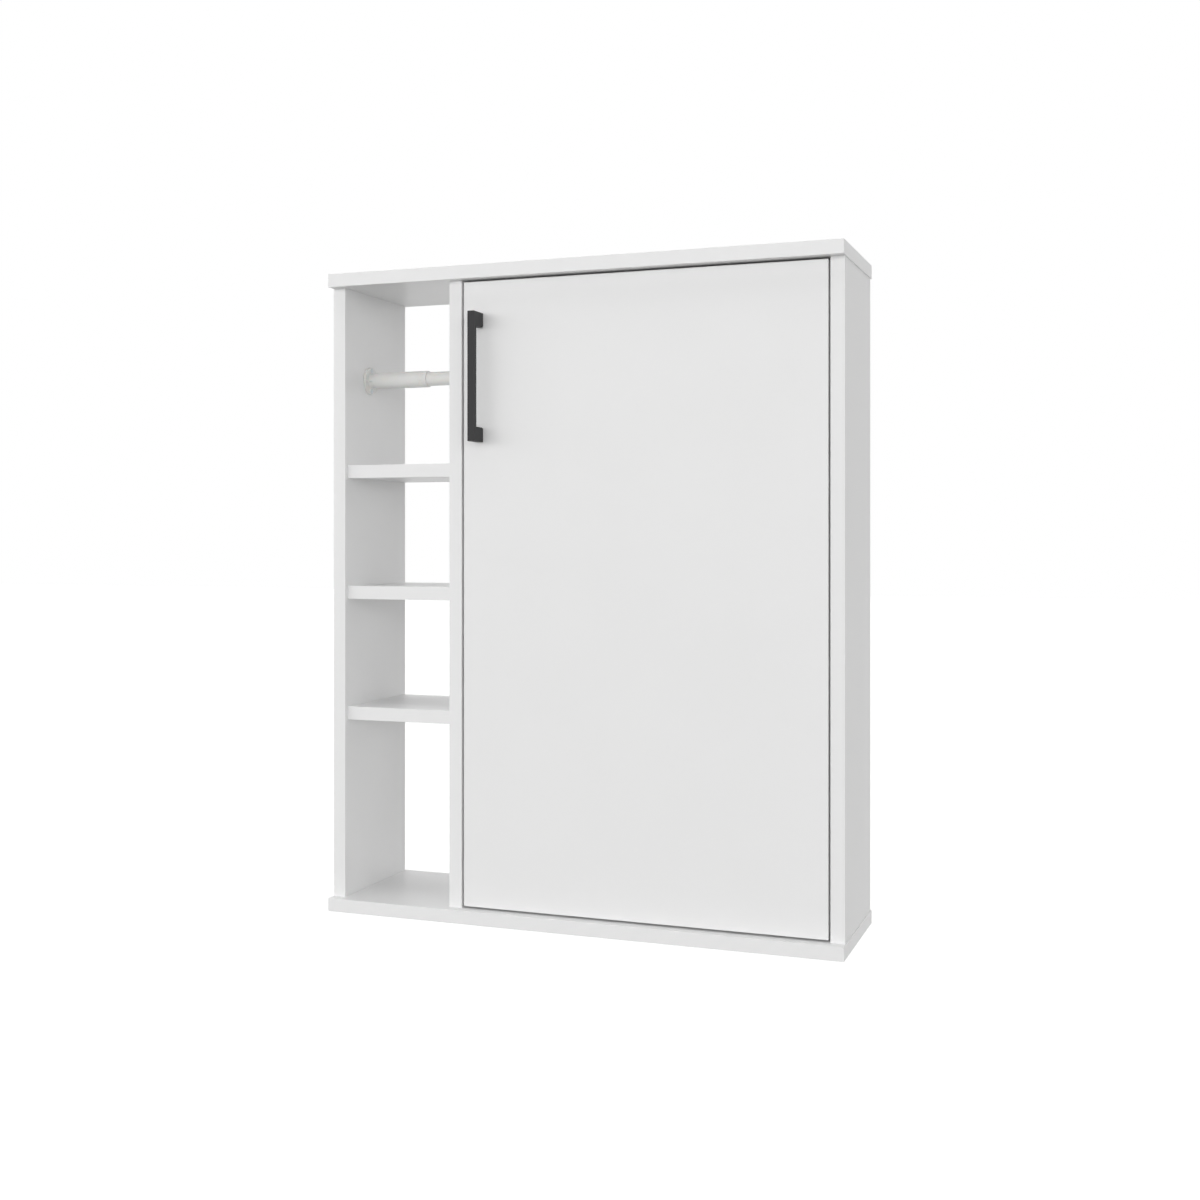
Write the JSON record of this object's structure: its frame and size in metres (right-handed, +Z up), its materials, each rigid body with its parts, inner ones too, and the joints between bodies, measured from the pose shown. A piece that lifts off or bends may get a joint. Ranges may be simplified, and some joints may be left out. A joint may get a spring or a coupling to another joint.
{
  "type": "bathroom wall cabinet",
  "caption": "White wall-hung bathroom cabinet with an open shelf column beside a hinged door, a black bar handle and a sprung paper roller.",
  "frame": {"origin": "centre of the four wall screw holes, on the wall plane at the rear of the back panel", "axes": "+X to the right as seen from the front, +Y towards the wall, +Z up"},
  "size_m": [0.5901, 0.172, 0.725],
  "materials": {
    "white_board": "white melamine-faced chipboard with matching edge band, satin",
    "back_board": "white-faced hardboard, satin",
    "black_handle": "die-cast bar, matte black powder coat",
    "hinge_zinc": "nickel-plated, satin",
    "screw_steel": "bright zinc-plated",
    "spring_steel": "drawn spring wire",
    "white_plastic": "moulded, satin",
    "ferrite": "sintered magnet, matte",
    "beech_dowel": "fluted beech, unfinished"
  },
  "bodies": {
    "cabinet": {"top_panel": "white_board", "bottom_panel": "white_board", "left_side": "white_board", "right_side": "white_board", "divider": "white_board", "column_shelf_upper": "white_board", "column_shelf_middle": "white_board", "column_shelf_lower": "white_board", "back_panel": "back_board", "hanging_rail_upper": "white_board", "hanging_rail_lower": "white_board", "inner_shelf_upper": "white_board", "inner_shelf_lower": "white_board", "shelf_pins": "screw_steel", "hinge_arms": "hinge_zinc", "hinge_arm_screws": "screw_steel", "hinge_plates": "hinge_zinc", "hinge_plate_screws": "screw_steel", "catch_housing": "white_plastic", "catch_magnet": "ferrite", "catch_screws": "screw_steel", "roller_sockets": "white_plastic", "roller_socket_screws": "screw_steel", "top_panel_screws": "screw_steel", "bottom_panel_screws": "screw_steel", "column_shelf_screws": "screw_steel", "rail_screws": "screw_steel", "top_panel_caps": "white_plastic", "bottom_panel_caps": "white_plastic", "column_shelf_caps": "white_plastic", "panel_dowels": "beech_dowel", "rail_dowels": "beech_dowel", "back_panel_nails": "screw_steel"},
    "door": {"door": "white_board", "handle": "black_handle", "handle_screws": "screw_steel", "hinge_cups": "hinge_zinc", "hinge_cup_screws": "screw_steel", "hinge_pins": "screw_steel", "strike_plate": "screw_steel", "strike_screws": "screw_steel"},
    "roller": {"roller_outer_tube": "white_plastic", "roller_spring": "spring_steel"},
    "roller_end": {"roller_inner_tube": "white_plastic"}
  },
  "joints": [
    {"name": "door_hinge", "type": "hinge", "parent": "cabinet", "child": "door", "pos_m": [0.1945, -0.1415, 0], "axis": [0, 0, 1], "range_deg": [0, 105]},
    {"name": "roller_spin", "type": "hinge", "parent": "cabinet", "child": "roller", "pos_m": [-0.2865, -0.092, 0.2465], "axis": [1, 0, 0], "continuous": true},
    {"name": "roller_push", "type": "slide", "parent": "roller", "child": "roller_end", "axis": [-1, 0, 0], "range_m": [0, 0.009], "stiffness_N_per_m": 300, "springref_m": -0.02, "deforming": ["roller_spring"]}
  ]
}
